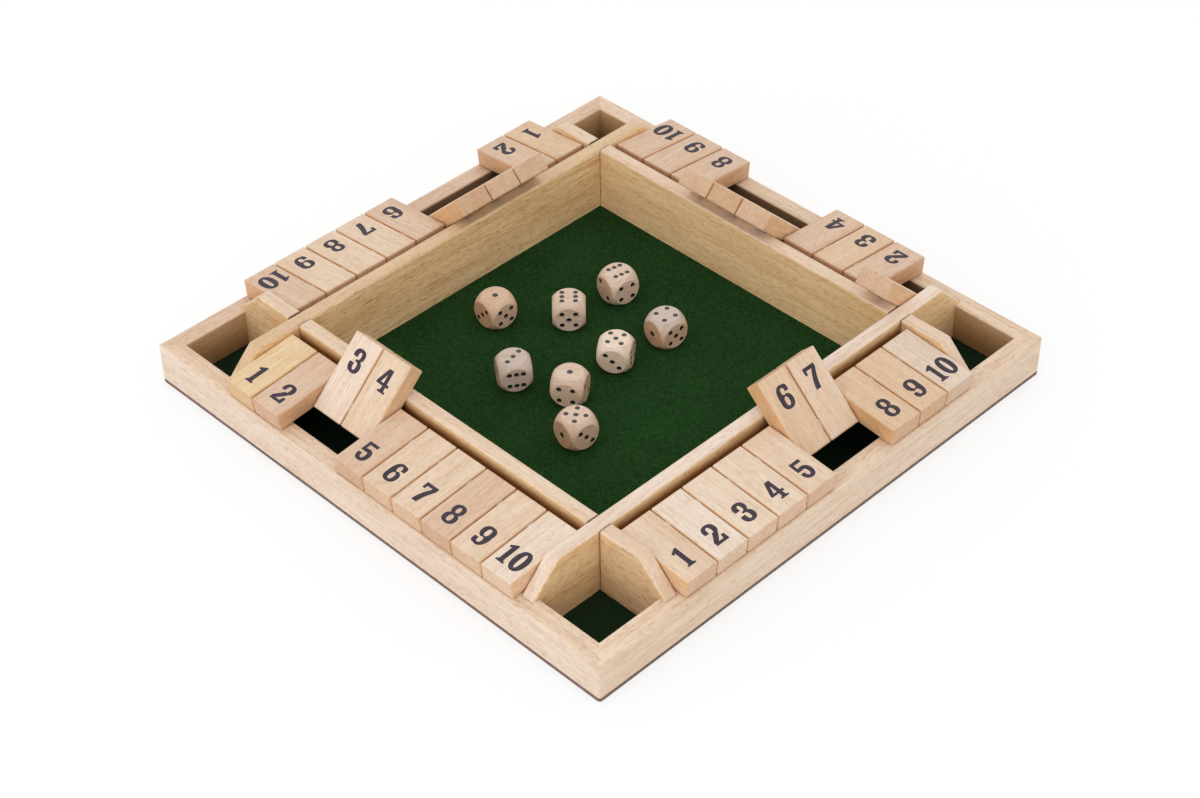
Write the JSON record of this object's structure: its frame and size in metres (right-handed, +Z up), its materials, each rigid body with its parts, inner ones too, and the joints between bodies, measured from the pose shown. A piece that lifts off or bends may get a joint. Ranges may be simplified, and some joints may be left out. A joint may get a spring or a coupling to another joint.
{
  "type": "shut the box game",
  "caption": "Square wooden shut the box game: hinged number tiles on steel rods along every side, a felt-lined dice well, open corner compartments and loose wooden dice",
  "frame": {"origin": "bottom centre of the base panel, on the table", "axes": "+Z up; -Y is the front side and +X the right side of the case, in the picture the near left and the near right side; numbers run left to right as seen from outside each side"},
  "size_m": [0.29, 0.29, 0.0527],
  "materials": {
    "case_wood": "satin",
    "tile_wood": "satin",
    "dice_wood": "satin",
    "base_board": "matte",
    "felt": "matte",
    "steel": "satin"
  },
  "bodies": {
    "case": {"base_panel": "base_board", "felt_lining": "felt", "front_rail": "case_wood", "right_rail": "case_wood", "back_rail": "case_wood", "left_rail": "case_wood", "long_wall_left": "case_wood", "long_wall_right": "case_wood", "short_walls": "case_wood", "short_dividers": "case_wood", "pivot_rods": "steel", "washers": "steel"},
    "front_tile_1": {"front_tile_1": "tile_wood"},
    "front_tile_2": {"front_tile_2": "tile_wood"},
    "front_tile_3": {"front_tile_3": "tile_wood"},
    "front_tile_4": {"front_tile_4": "tile_wood"},
    "front_tile_5": {"front_tile_5": "tile_wood"},
    "front_tile_6": {"front_tile_6": "tile_wood"},
    "front_tile_7": {"front_tile_7": "tile_wood"},
    "front_tile_8": {"front_tile_8": "tile_wood"},
    "front_tile_9": {"front_tile_9": "tile_wood"},
    "front_tile_10": {"front_tile_10": "tile_wood"},
    "right_tile_1": {"right_tile_1": "tile_wood"},
    "right_tile_2": {"right_tile_2": "tile_wood"},
    "right_tile_3": {"right_tile_3": "tile_wood"},
    "right_tile_4": {"right_tile_4": "tile_wood"},
    "right_tile_5": {"right_tile_5": "tile_wood"},
    "right_tile_6": {"right_tile_6": "tile_wood"},
    "right_tile_7": {"right_tile_7": "tile_wood"},
    "right_tile_8": {"right_tile_8": "tile_wood"},
    "right_tile_9": {"right_tile_9": "tile_wood"},
    "right_tile_10": {"right_tile_10": "tile_wood"},
    "back_tile_1": {"back_tile_1": "tile_wood"},
    "back_tile_2": {"back_tile_2": "tile_wood"},
    "back_tile_3": {"back_tile_3": "tile_wood"},
    "back_tile_4": {"back_tile_4": "tile_wood"},
    "back_tile_5": {"back_tile_5": "tile_wood"},
    "back_tile_6": {"back_tile_6": "tile_wood"},
    "back_tile_7": {"back_tile_7": "tile_wood"},
    "back_tile_8": {"back_tile_8": "tile_wood"},
    "back_tile_9": {"back_tile_9": "tile_wood"},
    "back_tile_10": {"back_tile_10": "tile_wood"},
    "left_tile_1": {"left_tile_1": "tile_wood"},
    "left_tile_2": {"left_tile_2": "tile_wood"},
    "left_tile_3": {"left_tile_3": "tile_wood"},
    "left_tile_4": {"left_tile_4": "tile_wood"},
    "left_tile_5": {"left_tile_5": "tile_wood"},
    "left_tile_6": {"left_tile_6": "tile_wood"},
    "left_tile_7": {"left_tile_7": "tile_wood"},
    "left_tile_8": {"left_tile_8": "tile_wood"},
    "left_tile_9": {"left_tile_9": "tile_wood"},
    "left_tile_10": {"left_tile_10": "tile_wood"},
    "die_1": {"die_1": "dice_wood"},
    "die_2": {"die_2": "dice_wood"},
    "die_3": {"die_3": "dice_wood"},
    "die_4": {"die_4": "dice_wood"},
    "die_5": {"die_5": "dice_wood"},
    "die_6": {"die_6": "dice_wood"},
    "die_7": {"die_7": "dice_wood"},
    "die_8": {"die_8": "dice_wood"}
  },
  "joints": [
    {"name": "front_tile_1_hinge", "type": "hinge", "parent": "case", "child": "front_tile_1", "pos_m": [0, -0.115, 0.0293], "axis": [-1, 0, 0], "range_deg": [0, 141.7]},
    {"name": "front_tile_2_hinge", "type": "hinge", "parent": "case", "child": "front_tile_2", "pos_m": [0, -0.115, 0.0293], "axis": [-1, 0, 0], "range_deg": [0, 141.7]},
    {"name": "front_tile_3_hinge", "type": "hinge", "parent": "case", "child": "front_tile_3", "pos_m": [0, -0.115, 0.0293], "axis": [-1, 0, 0], "range_deg": [-141.7, 0]},
    {"name": "front_tile_4_hinge", "type": "hinge", "parent": "case", "child": "front_tile_4", "pos_m": [0, -0.115, 0.0293], "axis": [-1, 0, 0], "range_deg": [-141.7, 0]},
    {"name": "front_tile_5_hinge", "type": "hinge", "parent": "case", "child": "front_tile_5", "pos_m": [0, -0.115, 0.0293], "axis": [-1, 0, 0], "range_deg": [0, 141.7]},
    {"name": "front_tile_6_hinge", "type": "hinge", "parent": "case", "child": "front_tile_6", "pos_m": [0, -0.115, 0.0293], "axis": [-1, 0, 0], "range_deg": [0, 141.7]},
    {"name": "front_tile_7_hinge", "type": "hinge", "parent": "case", "child": "front_tile_7", "pos_m": [0, -0.115, 0.0293], "axis": [-1, 0, 0], "range_deg": [0, 141.7]},
    {"name": "front_tile_8_hinge", "type": "hinge", "parent": "case", "child": "front_tile_8", "pos_m": [0, -0.115, 0.0293], "axis": [-1, 0, 0], "range_deg": [0, 141.7]},
    {"name": "front_tile_9_hinge", "type": "hinge", "parent": "case", "child": "front_tile_9", "pos_m": [0, -0.115, 0.0293], "axis": [-1, 0, 0], "range_deg": [0, 141.7]},
    {"name": "front_tile_10_hinge", "type": "hinge", "parent": "case", "child": "front_tile_10", "pos_m": [0, -0.115, 0.0293], "axis": [-1, 0, 0], "range_deg": [0, 132.4]},
    {"name": "right_tile_1_hinge", "type": "hinge", "parent": "case", "child": "right_tile_1", "pos_m": [0.115, 0, 0.0293], "axis": [0, -1, 0], "range_deg": [0, 141.7]},
    {"name": "right_tile_2_hinge", "type": "hinge", "parent": "case", "child": "right_tile_2", "pos_m": [0.115, 0, 0.0293], "axis": [0, -1, 0], "range_deg": [0, 141.7]},
    {"name": "right_tile_3_hinge", "type": "hinge", "parent": "case", "child": "right_tile_3", "pos_m": [0.115, 0, 0.0293], "axis": [0, -1, 0], "range_deg": [0, 141.7]},
    {"name": "right_tile_4_hinge", "type": "hinge", "parent": "case", "child": "right_tile_4", "pos_m": [0.115, 0, 0.0293], "axis": [0, -1, 0], "range_deg": [0, 141.7]},
    {"name": "right_tile_5_hinge", "type": "hinge", "parent": "case", "child": "right_tile_5", "pos_m": [0.115, 0, 0.0293], "axis": [0, -1, 0], "range_deg": [0, 141.7]},
    {"name": "right_tile_6_hinge", "type": "hinge", "parent": "case", "child": "right_tile_6", "pos_m": [0.115, 0, 0.0293], "axis": [0, -1, 0], "range_deg": [-141.7, 0]},
    {"name": "right_tile_7_hinge", "type": "hinge", "parent": "case", "child": "right_tile_7", "pos_m": [0.115, 0, 0.0293], "axis": [0, -1, 0], "range_deg": [-141.7, 0]},
    {"name": "right_tile_8_hinge", "type": "hinge", "parent": "case", "child": "right_tile_8", "pos_m": [0.115, 0, 0.0293], "axis": [0, -1, 0], "range_deg": [0, 141.7]},
    {"name": "right_tile_9_hinge", "type": "hinge", "parent": "case", "child": "right_tile_9", "pos_m": [0.115, 0, 0.0293], "axis": [0, -1, 0], "range_deg": [0, 141.7]},
    {"name": "right_tile_10_hinge", "type": "hinge", "parent": "case", "child": "right_tile_10", "pos_m": [0.115, 0, 0.0293], "axis": [0, -1, 0], "range_deg": [0, 132.4]},
    {"name": "back_tile_1_hinge", "type": "hinge", "parent": "case", "child": "back_tile_1", "pos_m": [0, 0.115, 0.0293], "axis": [1, 0, 0], "range_deg": [-141.7, 0]},
    {"name": "back_tile_2_hinge", "type": "hinge", "parent": "case", "child": "back_tile_2", "pos_m": [0, 0.115, 0.0293], "axis": [1, 0, 0], "range_deg": [0, 141.7]},
    {"name": "back_tile_3_hinge", "type": "hinge", "parent": "case", "child": "back_tile_3", "pos_m": [0, 0.115, 0.0293], "axis": [1, 0, 0], "range_deg": [0, 141.7]},
    {"name": "back_tile_4_hinge", "type": "hinge", "parent": "case", "child": "back_tile_4", "pos_m": [0, 0.115, 0.0293], "axis": [1, 0, 0], "range_deg": [0, 141.7]},
    {"name": "back_tile_5_hinge", "type": "hinge", "parent": "case", "child": "back_tile_5", "pos_m": [0, 0.115, 0.0293], "axis": [1, 0, 0], "range_deg": [-141.7, 0]},
    {"name": "back_tile_6_hinge", "type": "hinge", "parent": "case", "child": "back_tile_6", "pos_m": [0, 0.115, 0.0293], "axis": [1, 0, 0], "range_deg": [-141.7, 0]},
    {"name": "back_tile_7_hinge", "type": "hinge", "parent": "case", "child": "back_tile_7", "pos_m": [0, 0.115, 0.0293], "axis": [1, 0, 0], "range_deg": [-141.7, 0]},
    {"name": "back_tile_8_hinge", "type": "hinge", "parent": "case", "child": "back_tile_8", "pos_m": [0, 0.115, 0.0293], "axis": [1, 0, 0], "range_deg": [0, 141.7]},
    {"name": "back_tile_9_hinge", "type": "hinge", "parent": "case", "child": "back_tile_9", "pos_m": [0, 0.115, 0.0293], "axis": [1, 0, 0], "range_deg": [0, 141.7]},
    {"name": "back_tile_10_hinge", "type": "hinge", "parent": "case", "child": "back_tile_10", "pos_m": [0, 0.115, 0.0293], "axis": [1, 0, 0], "range_deg": [0, 132.4]},
    {"name": "left_tile_1_hinge", "type": "hinge", "parent": "case", "child": "left_tile_1", "pos_m": [-0.115, 0, 0.0293], "axis": [0, 1, 0], "range_deg": [0, 141.7]},
    {"name": "left_tile_2_hinge", "type": "hinge", "parent": "case", "child": "left_tile_2", "pos_m": [-0.115, 0, 0.0293], "axis": [0, 1, 0], "range_deg": [0, 141.7]},
    {"name": "left_tile_3_hinge", "type": "hinge", "parent": "case", "child": "left_tile_3", "pos_m": [-0.115, 0, 0.0293], "axis": [0, 1, 0], "range_deg": [-141.7, 0]},
    {"name": "left_tile_4_hinge", "type": "hinge", "parent": "case", "child": "left_tile_4", "pos_m": [-0.115, 0, 0.0293], "axis": [0, 1, 0], "range_deg": [-141.7, 0]},
    {"name": "left_tile_5_hinge", "type": "hinge", "parent": "case", "child": "left_tile_5", "pos_m": [-0.115, 0, 0.0293], "axis": [0, 1, 0], "range_deg": [-141.7, 0]},
    {"name": "left_tile_6_hinge", "type": "hinge", "parent": "case", "child": "left_tile_6", "pos_m": [-0.115, 0, 0.0293], "axis": [0, 1, 0], "range_deg": [0, 141.7]},
    {"name": "left_tile_7_hinge", "type": "hinge", "parent": "case", "child": "left_tile_7", "pos_m": [-0.115, 0, 0.0293], "axis": [0, 1, 0], "range_deg": [0, 141.7]},
    {"name": "left_tile_8_hinge", "type": "hinge", "parent": "case", "child": "left_tile_8", "pos_m": [-0.115, 0, 0.0293], "axis": [0, 1, 0], "range_deg": [0, 141.7]},
    {"name": "left_tile_9_hinge", "type": "hinge", "parent": "case", "child": "left_tile_9", "pos_m": [-0.115, 0, 0.0293], "axis": [0, 1, 0], "range_deg": [0, 141.7]},
    {"name": "left_tile_10_hinge", "type": "hinge", "parent": "case", "child": "left_tile_10", "pos_m": [-0.115, 0, 0.0293], "axis": [0, 1, 0], "range_deg": [0, 132.4]},
    {"name": "die_1_lift", "type": "slide", "parent": "case", "child": "die_1", "axis": [0, 0, 1], "range_m": [0, 0.06]},
    {"name": "die_2_lift", "type": "slide", "parent": "case", "child": "die_2", "axis": [0, 0, 1], "range_m": [0, 0.06]},
    {"name": "die_3_lift", "type": "slide", "parent": "case", "child": "die_3", "axis": [0, 0, 1], "range_m": [0, 0.06]},
    {"name": "die_4_lift", "type": "slide", "parent": "case", "child": "die_4", "axis": [0, 0, 1], "range_m": [0, 0.06]},
    {"name": "die_5_lift", "type": "slide", "parent": "case", "child": "die_5", "axis": [0, 0, 1], "range_m": [0, 0.06]},
    {"name": "die_6_lift", "type": "slide", "parent": "case", "child": "die_6", "axis": [0, 0, 1], "range_m": [0, 0.06]},
    {"name": "die_7_lift", "type": "slide", "parent": "case", "child": "die_7", "axis": [0, 0, 1], "range_m": [0, 0.06]},
    {"name": "die_8_lift", "type": "slide", "parent": "case", "child": "die_8", "axis": [0, 0, 1], "range_m": [0, 0.06]}
  ]
}
